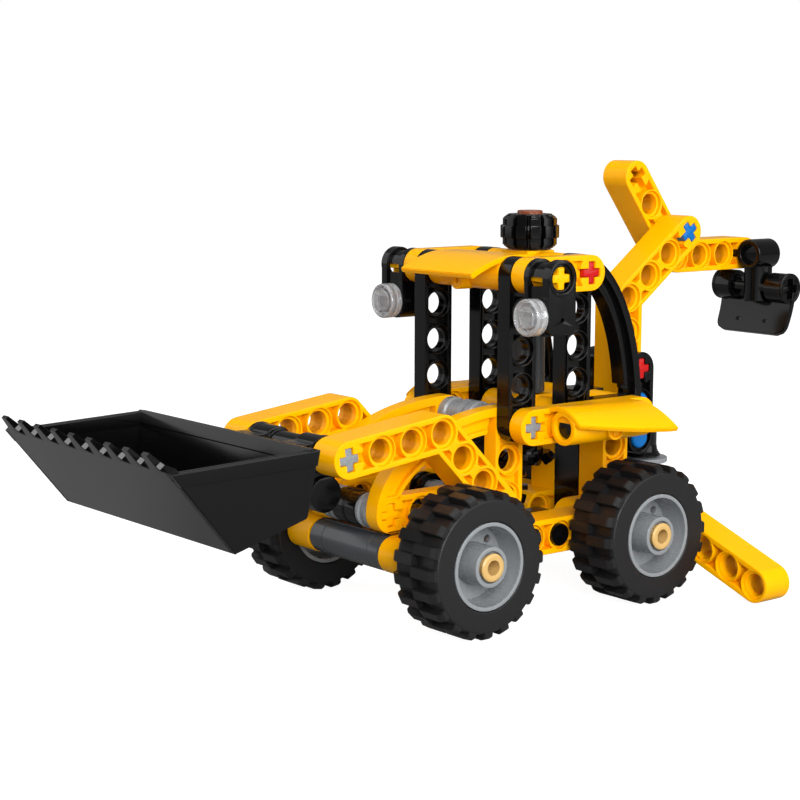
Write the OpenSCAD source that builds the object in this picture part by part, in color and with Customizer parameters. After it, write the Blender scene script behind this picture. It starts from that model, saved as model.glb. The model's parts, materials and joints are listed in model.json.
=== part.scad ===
// Toy backhoe loader built from studless construction beams on an 8 mm grid.
// Front of the vehicle points along -Y, its left side along +X, up is +Z, the ground is z = 0.
// Hole centres lie at y = 8 k and z = 15.2 + 8 k before the whole model is centred in Y.

/* [Wheels] */
// Outside radius of the tyres
tyre_r = 15.2; // [14:0.1:16]
// Width of a tyre
tyre_w = 13; // [11:0.1:13.4]
// Outside radius of the rim lip
rim_r = 9.0; // [8.4:0.1:9.6]

/* [Loader] */
// Outside half width of the loader bucket
bucket_hw = 31.3; // [24:0.1:36]
// Wall thickness of the loader bucket
bucket_wall = 1.6; // [1:0.1:2.4]
// Number of bucket teeth
tooth_count = 9; // [5:1:12]

/* [Fits] */
// Clearance between two neighbouring beams
beam_gap = 0.3; // [0.2:0.05:0.4]
// Radial clearance of a pin or axle in its hole
hole_fit = 0.05; // [0.03:0.01:0.1]

/* [Rear] */
// Slope of the stabiliser legs below level
leg_slope = 20; // [5:1:20]

/* [Hidden] */
$fn = 32;
m = 8;                      // grid module
y_mid = 22.42;              // middle of the model in Y on the grid
ground = 15.2;              // height of the wheel axes
bt = m - beam_gap;          // thick beam, also the width of every beam
tt = m / 2 - beam_gap / 2;  // thin beam
r = bt / 2;                 // round end of a beam
pin_d = 4.8;                // pins and axles
pin_r = pin_d / 2;
bore = pin_d + 2 * hole_fit;
boom_a = 36.87;             // slope of the upper leg of the boom
arm = 1.8;                  // arm width of a cross axle
fine = 48;
yel = "#ffc800"; blk = "#141414"; dgrey = "#5a5f63"; lgrey = "#a0a5a9";
// loader arm geometry: rear pivot, slope of the rear leg, bend of the beam
lift_y = 16; lift_z = 23.2; arm_a = -45.98; bend = 126.87;
elbow = [lift_y - 24 * cos(arm_a), lift_z - 24 * sin(arm_a)];
tip_a = arm_a + 360 - bend;
tip = [elbow[0] + 24 * cos(tip_a), elbow[1] + 24 * sin(tip_a)];

// ---- shared shapes -------------------------------------------------------
module piece(c) color(c) translate([0, -y_mid, 0]) children();
module both() { children(); mirror([1, 0, 0]) children(); }
// local X runs to the rear, local Y up, local Z to the vehicle's left
module side(x, y, z, a = 0) translate([x, y, z]) rotate([90, 0, 90]) rotate([0, 0, a]) children();
module along_x(x, y, z) translate([x, y, z]) rotate([0, 90, 0]) children();
module along_y(x, y, z) translate([x, y, z]) rotate([-90, 0, 0]) children();

module cap2(n, a = 0) rotate(a) {
    circle(r);
    translate([0, -r]) square([m * (n - 1), bt]);
    translate([m * (n - 1), 0]) circle(r);
}
module cross2(d, w) { square([d, w], center = true); square([w, d], center = true); }
module pin_cut(t) {
    cylinder(d = bore, h = t + 2, center = true);
    for (s = [-1, 1]) translate([0, 0, s * (t / 2)]) cylinder(d = 6.2, h = 1.6, center = true);
}
module cross_cut(t) linear_extrude(height = t + 2, center = true)
    cross2(bore, arm + 2 * hole_fit);
module holes(t, first, last, cross = [], a = 0) rotate(a) for (i = [first:last])
    translate([m * i, 0, 0])
    if (len(search(i, cross)) > 0) cross_cut(t); else pin_cut(t);
module beam(n, t, cross = []) difference() {
    linear_extrude(height = t, center = true) cap2(n);
    holes(t, 0, n - 1, cross);
}
// bent beam, four holes along each leg, cross holes at both ends
module bent_beam(a, b) difference() {
    linear_extrude(height = bt, center = true) { cap2(4, a); cap2(4, b); }
    holes(bt, 0, 3, [3], a);
    holes(bt, 1, 3, [3], b);
}
function ell(a, b) = concat([[0, 0]], [for (t = [0:6:90]) [a * cos(t), b * sin(t)]]);
// thin corner beam, five holes by three, closed by a quarter ellipse
module arc_beam() difference() {
    union() {
        linear_extrude(height = tt, center = true) { cap2(5); cap2(3, 90); }
        linear_extrude(height = tt, center = true) difference() {
            polygon(ell(4 * m + r, 2 * m + r));
            polygon(ell(4 * m + r - 3.2, 2 * m + r - 3.2));
        }
    }
    holes(tt, 0, 4, [4]);
    holes(tt, 1, 2, [2], 90);
}
// cross axle; the ends of its arms are rounded, so it also turns in a round hole
module axle(len, d = pin_d) linear_extrude(height = len, center = true) intersection() {
    cross2(d, arm);
    circle(d = d);
}
module tube(len, d = 7.4, round = false) difference() {
    cylinder(d = d, h = len, center = true);
    if (round) cylinder(d = bore, h = len + 2, center = true);
    else cross_cut(len);
}
// bevel gear: pitch cone of 45 degrees with its apex at the origin, opening along +Z
module bevel(hub_h = 7.6, phase = 0) difference() {
    union() {
        translate([0, 0, 4.4]) cylinder(r1 = 3.3, r2 = 5.1, h = 1.8);
        translate([0, 0, 6.2]) cylinder(r = 5.1, h = 0.6);
        translate([0, 0, 6.7]) cylinder(r = 3.6, h = hub_h - 6.7);
        for (i = [0:11]) rotate(30 * i + phase) rotate([0, 45, 0])
            translate([-0.95, -0.5, 6.6]) cube([1.62, 1.0, 2.1]);
    }
    cross_cut(40);
}

// ---- chassis -------------------------------------------------------------
module lower_beam() side(2 * m, -m, ground) beam(9, bt);
module lower_beam_left() piece(yel) lower_beam();
module lower_beam_right() piece(yel) mirror([1, 0, 0]) lower_beam();
module nose_connectors() piece(dgrey) {
    along_x(0, -m, ground) difference() {
        tube(23.7);
        translate([-4.6, -1.2, 6.5]) cube([2, 2.4, 3.4]);
    }
    along_x(0, -m, ground + m) tube(7.8);
}
module hood() translate([10.05, 3 * m, ground + m]) mirror([0, 1, 0]) rotate([90, 0, 90])
    arc_beam();
module hood_left() piece(yel) hood();
module hood_right() piece(yel) mirror([1, 0, 0]) hood();
module yellow_axles() piece(yel) {
    along_x(0, -m, ground + m) axle(23.8);
    along_x(0, 3 * m, ground + 7 * m) axle(55.8);
}
module bushes() piece(lgrey) {
    along_x(6, -m, ground + m) tube(3.8);
    along_x(-6.0, -m, ground + m) tube(3.9);
    along_x(4.1, 3 * m, ground + 3 * m) tube(7.7);
    along_x(-4.1, 3 * m, ground + 3 * m) tube(7.7);
}
module front_pillars() piece(blk) both() side(14, 3 * m, ground + 3 * m, 90) beam(5, tt);
module rear_pillars() piece(blk) both() translate([14, 5 * m, ground + 3 * m])
    rotate([90, 0, 90]) mirror([1, -1, 0]) arc_beam();
module waist_beams() piece(yel) both() side(18, 3 * m, ground + 3 * m) beam(5, tt, [0, 4]);
module roof_beams() piece(yel) both() side(18, 3 * m, ground + 7 * m) beam(3, tt, [0, 2]);
// fairing panel: tube along its length, thin plate sweeping down from the top to a lip
module fairing_profile() {
    polygon([[-0.5, 2.6], [-0.5, 3.85], [4.5, 3.4], [8.2, 2.2], [11.1, 0.3], [10.7, -0.6],
        [7.6, 1.3], [4.2, 2.3]]);
    difference() {
        circle(r);
        circle(d = bore);
    }
}
module visor() piece(yel) {
    translate([0, 3 * m, ground + 7 * m]) rotate([90, 0, -90])
        linear_extrude(height = 23.7, center = true) fairing_profile();
    along_y(0, 3 * m - 4.6, ground + 7 * m - 0.6) cylinder(d = 4, h = 2);
}
module fender() {
    translate([3 * m, 5 * m, ground + 3 * m]) rotate([90, 0, 0])
        linear_extrude(height = 23.7, center = true) fairing_profile();
    along_x(3 * m + 3.3, 5 * m, ground + 3 * m - 1) cylinder(d = 5, h = 1.4, center = true);
}
module fender_left() piece(yel) fender();
module fender_right() piece(yel) mirror([1, 0, 0]) fender();
module cross_block(z) difference() {
    translate([0, 5 * m, z]) union() {
        cube([bt, bt, bt + 0.1], center = true);
        rotate([0, 90, 0]) cylinder(r = r - 0.1, h = 23.7, center = true);
    }
    translate([0, 5 * m, z]) cylinder(d = bore, h = 20, center = true);
    for (s = [-1, 1]) along_x(s * 8.4, 5 * m, z) cylinder(d = bore, h = 8, center = true);
}
module roof_cross() piece(yel) cross_block(ground + 7 * m);
module waist_cross() piece(yel) cross_block(ground + 3 * m);
// cross end in the thin beams, round end in the block between them
module roof_pins() piece("#c91a09") both() {
    along_x(15.85, 5 * m, ground + 7 * m) axle(7.8);
    along_x(8.5, 5 * m, ground + 7 * m) cylinder(d = pin_d - 0.06, h = 7.1, center = true);
}
module grey_axles() piece(lgrey) {
    along_x(0, 3 * m, ground + 3 * m) axle(39.8);
    along_x(0, 7 * m, ground + 3 * m) axle(39.8);
}
module inner_beams() piece(yel) both() side(m, 7 * m, ground) difference() {
    linear_extrude(height = bt, center = true) { cap2(4, 90); cap2(2, 180); }
    holes(bt, 0, 3, [3], 90);
    holes(bt, 1, 1, [], 180);
}
module frame_pins() piece(blk) {
    both() {
        along_x(12, 7 * m, ground) cylinder(d = pin_d, h = 15.6, center = true);
        for (k = [3, 4]) along_x(14.9, k * m, ground) cylinder(d = pin_d, h = 9.8, center = true);
        along_x(12.2, 5 * m, ground + 3 * m) cylinder(d = pin_d, h = 14.6, center = true);
        along_x(16.0, -m, ground) cylinder(d = pin_d, h = 7.6, center = true);
        along_y(2 * m, 8.25 * m, ground) cylinder(d = pin_d, h = 11.6, center = true);
    }
}
module drive_block() piece(blk) difference() {
    union() {
        translate([-11.85, 20.2, ground - r]) cube([23.7, 15.6, 4.4]);
        both() translate([8.3, 20.2, ground - r]) cube([3.55, 15.6, bt]);
        translate([-r, 24.4, ground]) cube([bt, 7.2, m]);
        along_y(0, 28, ground + m) cylinder(r = r, h = 7.2, center = true);
    }
    along_y(0, 28, ground + m) cylinder(d = bore, h = 12, center = true);
    for (k = [3, 4], s = [-1, 1]) along_x(s * 11.2, k * m, ground)
        cylinder(d = bore, h = 4, center = true);
}
module carrier() piece(blk) difference() {
    union() {
        translate([-r, 52.2, ground - r]) cube([bt, 7.6, 31.7]);
        translate([-r, 52.2, ground - r]) cube([bt, 23.8, bt]);
        translate([0, 76, ground]) cylinder(r = r, h = bt, center = true);
        along_y(-16, 62.05, ground) linear_extrude(height = tt, center = true) cap2(5);
    }
    translate([0, 76, ground]) cylinder(d = bore, h = 12, center = true);
    along_x(0, 56, ground + 3 * m) cross_cut(12);
    for (s = [-1, 1]) along_y(s * 16, 62, ground) cylinder(d = bore, h = 8, center = true);
}
module swivel_pin() piece(lgrey) translate([0, 76, 0]) {
    translate([0, 0, 11.6]) cylinder(d = pin_d, h = 21.2);
    translate([0, 0, 19.2]) cylinder(d = 7.4, h = 4.8);
    translate([0, 0, 23.9]) cylinder(r = 6.4, h = 1.1);
}
module wheel_pins() piece("#d9bb7b") both() for (y = [0, 6 * m]) along_x(0, y, ground)
    difference() {
        union() {
            translate([0, 0, 12.2]) cylinder(d = pin_d, h = 22.1);
            translate([0, 0, 34.15]) cylinder(d = 5.8, h = 0.4);
        }
        translate([0, 0, 10]) cylinder(d = 3.1, h = 30);
    }

// ---- wheels --------------------------------------------------------------
module rim() along_x(27, 0, ground) difference() {
    rotate_extrude($fn = fine) polygon([[bore / 2, -6.5], [4.1, -6.5], [4.1, -0.8], [7.6, -0.8],
        [7.8, -6.4], [rim_r, -6.4], [rim_r, -5.9], [rim_r - 0.4, -5.9], [rim_r - 0.4, 5.9],
        [rim_r, 5.9], [rim_r, 6.4], [8.0, 6.4], [7.5, 0.9], [4.1, 0.9], [4.1, 7.0],
        [bore / 2, 7.0]]);
    for (i = [0:3]) rotate(90 * i + 45) translate([5.8, 0, 0]) cylinder(d = 1.6, h = 6, center = true);
}
module tyre() along_x(27, 0, ground) rotate_extrude($fn = fine)
    polygon([[rim_r - 0.35, -5.85], [rim_r + 0.05, -5.85], [rim_r + 0.05, -tyre_w / 2],
        [rim_r + 2.5, -tyre_w / 2], [tyre_r - 0.6, -tyre_w / 2 + 0.4], [tyre_r, -tyre_w / 2 + 1.2],
        [tyre_r, tyre_w / 2 - 1.2], [tyre_r - 0.6, tyre_w / 2 - 0.4],
        [rim_r + 2.5, tyre_w / 2], [rim_r + 0.05, tyre_w / 2],
        [rim_r + 0.05, 5.85], [rim_r - 0.35, 5.85]]);
module rim_fl() piece(lgrey) rim();
module rim_fr() piece(lgrey) mirror([1, 0, 0]) rim();
module rim_rl() piece(lgrey) translate([0, 6 * m, 0]) rim();
module rim_rr() piece(lgrey) translate([0, 6 * m, 0]) mirror([1, 0, 0]) rim();
module tyre_fl() piece("#1c1c1c") tyre();
module tyre_fr() piece("#1c1c1c") mirror([1, 0, 0]) tyre();
module tyre_rl() piece("#1c1c1c") translate([0, 6 * m, 0]) tyre();
module tyre_rr() piece("#1c1c1c") translate([0, 6 * m, 0]) mirror([1, 0, 0]) tyre();

// ---- loader --------------------------------------------------------------
module loader_arm() side(2 * m, elbow[0], elbow[1]) bent_beam(arm_a, tip_a);
module arm_left() piece(yel) loader_arm();
module arm_right() piece(yel) mirror([1, 0, 0]) loader_arm();
module arm_axles() piece(lgrey) {
    side(0, elbow[0], elbow[1], arm_a) translate([24, 0, 0]) axle(39.8);
    side(0, elbow[0], elbow[1], tip_a) translate([24, 0, 0]) axle(39.8);
}
module lift_gear() piece(blk) side(0, lift_y, lift_z, arm_a) bevel(7.6, 15 - arm_a);
// side profile of the bucket: lip, front of the floor, back of the floor, top of the back
bp = [[-72.5, 41.7], [-59.0, 25.5], [-42.9, 30.1], [-40.2, 42.8]];
// unit normal pointing into the bucket, and a corner moved in by t along both walls
function inward(p, q) = [p[1] - q[1], q[0] - p[0]] / norm(q - p);
function corner_in(o, p, q, t) = let (a = inward(o, p), b = inward(p, q))
    p + t * (a + b) / (1 + a * b);
function past(p, q, t, e) = p + t * inward(p, q) - e * (q - p) / norm(q - p);
lip_lean = atan((bp[1][0] - bp[0][0]) / (bp[0][1] - bp[1][1]));
module bucket_shell(t) difference() {
    translate([-bucket_hw, 0, 0]) rotate([90, 0, 90])
        linear_extrude(height = 2 * bucket_hw) polygon(bp);
    translate([-bucket_hw + t, 0, 0]) rotate([90, 0, 90])
        linear_extrude(height = 2 * (bucket_hw - t))
        polygon([past(bp[0], bp[1], t, 4), corner_in(bp[0], bp[1], bp[2], t),
            corner_in(bp[1], bp[2], bp[3], t), past(bp[3], bp[2], -t, 4)]);
}
module bucket_tooth() rotate([90, 0, 0]) translate([0, 0, -bucket_wall + 0.15])
    linear_extrude(height = bucket_wall - 0.3)
        polygon([[0, -0.6], [0.2, 0], [1.4, 4.1], [3.4, 4.1], [3.5, 0.4], [4.2, -0.6]]);
module loader_bucket() piece(blk) {
    difference() {
        union() {
            bucket_shell(bucket_wall);
            // teeth along the lip, leaning on with the front wall
            for (i = [0:tooth_count - 1])
                translate([-bucket_hw + 2.2 + i * (2 * bucket_hw - 2.4) / tooth_count,
                    bp[0][0], bp[0][1]])
                rotate([lip_lean, 0, 0]) bucket_tooth();
            along_x(0, tip[0], tip[1]) cylinder(r = 3, h = 10, center = true);
            // hinge lugs reaching back between the arms
            both() side(8, tip[0], tip[1]) {
                linear_extrude(height = 6.6, center = true) {
                    circle(3.7);
                    rotate(-90) translate([0, -3.0]) square([8, 6]);
                    rotate(-90) translate([8, 0]) circle(3.6);
                    translate([-17.3, -2.5]) square([17.3, 5]);
                }
            }
        }
        along_x(0, tip[0], tip[1]) cylinder(d = bore, h = 60, center = true);
    }
}

// ---- lift drive ----------------------------------------------------------
module drive_axle() piece(blk) along_y(0, 28, lift_z) axle(15.2);
module drive_gears() piece(blk) {
    along_y(0, 16, lift_z) bevel(7.9);
    translate([0, 56 - 16, 0]) mirror([0, 1, 0]) along_y(0, 0, lift_z) bevel(7.9);
}
module column_gear() piece(blk) translate([0, 40, lift_z]) bevel(7.6, 15);
module column_axle() piece(blk) translate([0, 40, 38.9]) axle(23.8);
module column() piece(dgrey) translate([0, 40, 55.2]) tube(23.6);
module knob_axle() piece("#7a4a32") translate([0, 40, 0]) {
    translate([0, 0, 71.3]) axle(23.6);
    translate([0, 0, 82.6]) cylinder(d = 5.6, h = 1.2);
}
module knob_gear() piece(blk) translate([0, 40, 79.25]) difference() {
    union() {
        cylinder(r = 5.1, h = 7.5, center = true);
        for (i = [0:11]) rotate(30 * i) {
            translate([4.4, -1.1, -2.95]) cube([1.65, 2.2, 5.9]);
            translate([5.9, -1, -1.4]) cube([0.65, 2, 2.8]);
        }
    }
    cross_cut(20);
    translate([0, 0, 3.25]) cylinder(d = 6.1, h = 2);
}

// ---- headlights ----------------------------------------------------------
module bracket() difference() {
    union() {
        for (x = [21.2, 26.9]) along_x(x, 24, 71.2) cylinder(r = r, h = 2, center = true);
        for (x = [21.2, 26.9]) translate([x - 1, 24 - r, 63.2]) cube([2, bt, m]);
        along_y(24.05, 24, 63.2) cylinder(r = r, h = 9.4, center = true);
        along_x(24.05, 24, 71.2) cylinder(r = 3.1, h = 4.2, center = true);
        translate([22, 21, 64]) cube([4.1, 6, 5.4]);
    }
    translate([22.2, 19, 69.6]) cube([3.7, 3.4, 1.8]);
    along_x(24, 24, 71.2) cylinder(d = bore, h = 20, center = true);
    along_y(24.05, 20.4, 63.2) cylinder(d = bore, h = 6.4, center = true);
}
module bracket_left() piece(blk) bracket();
module bracket_right() piece(blk) mirror([1, 0, 0]) bracket();
module lamp() along_y(24.05, 0, 63.2) {
    translate([0, 0, 15.6]) cylinder(r = 3.9, h = 3.6);
    translate([0, 0, 19]) cylinder(d = pin_d, h = 4);
}
module lamp_left() piece("#e8eef2") lamp();
module lamp_right() piece("#e8eef2") mirror([1, 0, 0]) lamp();

// ---- backhoe -------------------------------------------------------------
module swivel_head() piece(blk) difference() {
    union() {
        translate([0, 76, 25.3]) cylinder(r = r, h = 7.6);
        translate([-r, 68, 28.6]) cube([bt, 8, 4.3]);
        along_x(0, 68, 31.2) cylinder(r = 3.6, h = bt, center = true);
    }
    translate([0, 76, 20]) cylinder(d = bore, h = 20);
    along_x(0, 68, 31.2) cylinder(d = bore, h = 10, center = true);
}
module uprights() piece(blk) both() side(6.05, 68, 31.2, 90) beam(3, tt, [2]);
module boom() piece(yel) side(0, 68, 63.2) bent_beam(-90, boom_a);
module mast_axle() piece("#c91a09") along_x(0, 68, 47.2) axle(15.8);
module blue_pins() piece("#1565c0") {
    along_x(0, 68, 31.2) cylinder(d = pin_d, h = 15.8, center = true);
    along_x(0, 68, 39.2) axle(7.8);
    both() along_x(5.88, 68, 39.2) cylinder(d = pin_d - 0.06, h = 4.04, center = true);
    side(0, 68, 63.2, boom_a) translate([24, 0, 0]) axle(7.8);
    along_x(-7.88, 87.2, 77.6) cylinder(d = pin_d - 0.06, h = 8.04, center = true);
}
module stick() piece(yel) side(-m, 92, 71.2) bent_beam(126.87, 0);
module hub() piece(blk) difference() {
    union() {
        along_y(0, 116, 71.2) cylinder(r = r, h = bt, center = true);
        translate([-r, 112.2, 63.2]) cube([bt, bt, m]);
        along_x(0, 116, 63.2) cylinder(r = r, h = bt, center = true);
    }
    along_x(0, 116, 71.2) cross_cut(12);
    along_x(0, 116, 63.2) cylinder(d = bore, h = 12, center = true);
    for (y = [110, 122]) along_y(0, y, 71.2) cylinder(d = bore, h = 6, center = true);
}
module hub_axle() piece(blk) along_x(-4, 116, 71.2) axle(15.6);
module digger_bucket() piece(blk) {
    both() along_x(m, 116, 63.2) tube(bt, bt);
    difference() {
        translate([0, 104, 57]) rotate([0, 90, 0])
            cylinder(r = 13.6, h = 22.6, center = true, $fn = fine);
        translate([0, 104, 57]) rotate([0, 90, 0])
            cylinder(r = 12.2, h = 30, center = true, $fn = fine);
        translate([-20, 80, 30]) cube([40, 60, 21.6]);
        translate([-20, 80, 60.6]) cube([40, 60, 20]);
        translate([-20, 80, 30]) cube([40, 24, 60]);
        along_x(0, 116, 63.2) cylinder(r = r + 0.3, h = 8.3, center = true);
    }
}
module digger_axle() piece(blk) along_x(0, 116, 63.2) axle(23.8, 4.8);
module leg() translate([2 * m, 68, ground]) rotate([90, 0, 0]) rotate([0, 0, -leg_slope])
    beam(5, bt);
module stabiliser_left() piece(yel) leg();
module stabiliser_right() piece(yel) mirror([1, 0, 0]) leg();

lower_beam_left();
lower_beam_right();
nose_connectors();
hood_left();
hood_right();
yellow_axles();
bushes();
front_pillars();
rear_pillars();
waist_beams();
roof_beams();
visor();
roof_cross();
waist_cross();
roof_pins();
grey_axles();
inner_beams();
frame_pins();
drive_block();
carrier();
swivel_pin();
wheel_pins();
fender_left();
fender_right();
rim_fl();
rim_fr();
rim_rl();
rim_rr();
tyre_fl();
tyre_fr();
tyre_rl();
tyre_rr();
arm_left();
arm_right();
arm_axles();
lift_gear();
loader_bucket();
drive_axle();
drive_gears();
knob_gear();
knob_axle();
column();
column_axle();
column_gear();
bracket_left();
bracket_right();
lamp_left();
lamp_right();
swivel_head();
uprights();
boom();
mast_axle();
blue_pins();
stick();
hub();
hub_axle();
digger_bucket();
digger_axle();
stabiliser_left();
stabiliser_right();
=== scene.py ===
"""Looks of the toy backhoe loader: beams, axles, wheels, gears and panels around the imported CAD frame.

Shapes are drawn in millimetres on the toy's 8 mm grid, measured from the front axle, and placed in metres.
Front is -Y, the vehicle's left is +X, up is +Z.
"""
import json
import math
from math import cos, radians, sin
import bmesh
import bpy
from mathutils import Matrix, Vector


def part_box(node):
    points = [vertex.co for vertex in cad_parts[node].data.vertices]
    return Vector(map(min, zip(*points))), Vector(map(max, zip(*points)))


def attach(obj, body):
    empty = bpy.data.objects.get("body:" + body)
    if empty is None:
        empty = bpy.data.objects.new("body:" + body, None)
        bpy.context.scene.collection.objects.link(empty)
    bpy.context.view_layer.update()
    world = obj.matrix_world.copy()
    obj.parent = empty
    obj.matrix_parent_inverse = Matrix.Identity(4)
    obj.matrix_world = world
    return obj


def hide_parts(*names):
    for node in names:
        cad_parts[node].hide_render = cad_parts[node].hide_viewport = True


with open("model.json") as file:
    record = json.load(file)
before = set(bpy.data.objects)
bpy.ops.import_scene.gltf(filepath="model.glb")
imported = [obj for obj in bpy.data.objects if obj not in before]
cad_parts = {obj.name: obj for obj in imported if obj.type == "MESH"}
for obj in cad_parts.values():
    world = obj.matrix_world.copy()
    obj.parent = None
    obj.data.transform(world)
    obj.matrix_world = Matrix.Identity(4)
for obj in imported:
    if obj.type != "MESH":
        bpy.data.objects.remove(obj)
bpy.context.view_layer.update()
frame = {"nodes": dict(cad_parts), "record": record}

MM = 0.001
GRID = 8.0
GAP = 0.3                      # between neighbouring beams
WIDE = GRID - GAP              # width of a beam, thickness of a thick one
THIN = GRID / 2 - GAP / 2      # thickness of a thin beam
END_R = WIDE / 2
HOLE_R, SINK_R, RING_R = 2.45, 3.1, 3.45   # pin hole, its sunk ring, the wall round it
SINK_D = 0.8                   # depth of the sunk ring
ARM = 0.95                     # half width of a cross hole's arm
BEVEL = 0.16
lo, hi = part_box("rim_fl")
AXLE_Y = (lo.y + hi.y) / 2 / MM
AXLE_Z = (lo.z + hi.z) / 2 / MM
ROW = [AXLE_Z + GRID * k for k in range(9)]    # heights of the hole rows
BEAM_X, THIN_X, WAIST_X, HOOD_X = 16, 14, 18, 10.05    # middles of the side planes, out from the centre
WHEEL_X, REAR_AXLE_Y = 27, 48
CAB_Y, COLUMN_Y, MAST_Y, NOSE_Y = 24, 40, 68, -8    # front pillars, knob shaft, backhoe mast, nose


# ---- placing -------------------------------------------------------------
def spot(x, y, z):
    return Matrix.Translation(Vector((x, y + AXLE_Y, z)) * MM)


def turned(axes):
    """Rotation whose columns are where local X, Y and Z go."""
    return Matrix(axes).transposed().to_4x4()


def spin(deg):
    return Matrix.Rotation(radians(deg), 4, "Z")


SCALE = Matrix.Scale(MM, 4)
TO_LEFT = turned(((0, 1, 0), (0, 0, 1), (1, 0, 0)))     # local Z to +X, local X to the rear
TO_REAR = turned(((1, 0, 0), (0, 0, -1), (0, 1, 0)))    # local Z to +Y
TO_FRONT = turned(((1, 0, 0), (0, 0, 1), (0, -1, 0)))   # local Z to -Y
MIRROR = Matrix.Diagonal((-1, 1, 1, 1))


def side(x, y, z, deg=0):
    return spot(x, y, z) @ TO_LEFT @ spin(deg)


# ---- outlines in millimetres ---------------------------------------------
def arc(cx, cy, r, a0, a1, n=10):
    return [(cx + r * cos(radians(a0 + (a1 - a0) * i / n)),
             cy + r * sin(radians(a0 + (a1 - a0) * i / n))) for i in range(n + 1)]


def ring(r, cx=0, cy=0, n=36):
    return arc(cx, cy, r, 0, 360, n)[:-1]


def polar(r, deg):
    return (r * cos(radians(deg)), r * sin(radians(deg)))


def turn(points, deg, dx=0, dy=0):
    c, s = cos(radians(deg)), sin(radians(deg))
    return [(x * c - y * s + dx, x * s + y * c + dy) for x, y in points]


def rounded(points, radius, n=3, closed=True):
    """Replaces each corner with a short arc-like bend."""
    out = []
    count = len(points)
    for i, p in enumerate(points):
        if not closed and i in (0, count - 1):
            out.append(p)
            continue
        a, b = Vector(points[i - 1]), Vector(points[(i + 1) % count])
        p = Vector(p)
        la, lb = (a - p).length, (b - p).length
        d = min(radius, la * 0.45, lb * 0.45)
        pa, pb = p + (a - p) * (d / la), p + (b - p) * (d / lb)
        for k in range(n + 1):
            t = k / n
            q = pa * (1 - t) ** 2 + p * (2 * t * (1 - t)) + pb * t * t
            out.append((q.x, q.y))
    return out


CROSS = [(HOLE_R, -ARM), (HOLE_R, ARM), (ARM, ARM), (ARM, HOLE_R), (-ARM, HOLE_R), (-ARM, ARM),
         (-HOLE_R, ARM), (-HOLE_R, -ARM), (-ARM, -ARM), (-ARM, -HOLE_R), (ARM, -HOLE_R), (ARM, -ARM)]
POCKET_H = 2.65                # half height of the pockets between holes


def cross_pocket():
    """Cross hole at the origin that opens through a slot into an I-shaped pocket towards +X."""
    a = math.degrees(math.asin(POCKET_H / RING_R))
    far = arc(GRID, 0, RING_R, 180 + a, 180 - a, 8)
    return ([(ARM, -ARM), (3.3, -ARM), (3.3, -1.7), (2.7, -POCKET_H)] + far
            + [(2.7, POCKET_H), (3.3, 1.7), (3.3, ARM)] + CROSS[2:11])


def pocket(split=False):
    """Recess between the hole at the origin and the next one towards +X."""
    a = math.degrees(math.asin(POCKET_H / RING_R))
    if not split:
        return [arc(0, 0, RING_R, a, -a, 8) + arc(GRID, 0, RING_R, 180 + a, 180 - a, 8)]
    inner = 24
    low = (arc(0, 0, RING_R + 0.25, -inner, -a, 5) + arc(GRID, 0, RING_R + 0.25, 180 + a, 180 + inner, 5))
    return [low, [(x, -y) for x, y in reversed(low)]]


def capsule(n):
    end = GRID * (n - 1)
    return arc(end, 0, END_R, -90, 90, 14) + arc(0, 0, END_R, 90, 270, 14)


def elbow_outline(a, b):
    """Two legs of four holes that leave the origin at angles a and b, with b - a under 180."""
    reach = END_R / sin(radians((b - a) / 2))
    ea, eb = polar(3 * GRID, a), polar(3 * GRID, b)
    return (arc(*ea, END_R, a - 90, a + 90, 14) + [polar(reach, (a + b) / 2)]
            + arc(*eb, END_R, b - 90, b + 90, 14) + arc(0, 0, END_R, b + 90, a + 270, 8))


# ---- mesh making ---------------------------------------------------------
def area(points):
    return sum(points[i - 1][0] * p[1] - p[0] * points[i - 1][1] for i, p in enumerate(points))


def plate(loops, thick, z=0.0, bevel=BEVEL, matrix=Matrix()):
    """Flat piece from an outline and holes, with softened edges; centred on z."""
    curve = bpy.data.curves.new("plate", "CURVE")
    curve.dimensions = "2D"
    curve.fill_mode = "BOTH"
    curve.extrude = thick / 2 - bevel
    curve.bevel_depth = bevel
    curve.bevel_resolution = 1
    curve.offset = -bevel
    for i, loop in enumerate(loops):
        if (area(loop) > 0) != (i == 0):
            loop = loop[::-1]
        spline = curve.splines.new("POLY")
        spline.points.add(len(loop) - 1)
        spline.points.foreach_set("co", [v for x, y in loop for v in (x, y, 0, 1)])
        spline.use_cyclic_u = True
    obj = bpy.data.objects.new("plate", curve)
    mesh = bpy.data.meshes.new_from_object(obj)
    bpy.data.objects.remove(obj)
    bpy.data.curves.remove(curve)
    mesh.transform(matrix @ Matrix.Translation((0, 0, z)))
    return mesh


def lathe(profile, matrix=Matrix(), n=48, closed=True):
    """Turned piece round local Z from (radius, height) points."""
    bm = bmesh.new()
    rings = [[bm.verts.new((r * cos(2 * math.pi * k / n), r * sin(2 * math.pi * k / n), z))
              for k in range(n)] if r > 1e-6 else [bm.verts.new((0, 0, z))] * n for r, z in profile]
    count = len(profile)
    for i in range(count if closed else count - 1):
        a, b = rings[i], rings[(i + 1) % count]
        for k in range(n):
            corners = []
            for v in (a[k], a[(k + 1) % n], b[(k + 1) % n], b[k]):
                if v not in corners:
                    corners.append(v)
            if len(corners) > 2:
                bm.faces.new(corners)
    bmesh.ops.recalc_face_normals(bm, faces=bm.faces)
    mesh = bpy.data.meshes.new("lathe")
    bm.to_mesh(mesh)
    bm.free()
    mesh.transform(matrix)
    return mesh


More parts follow.
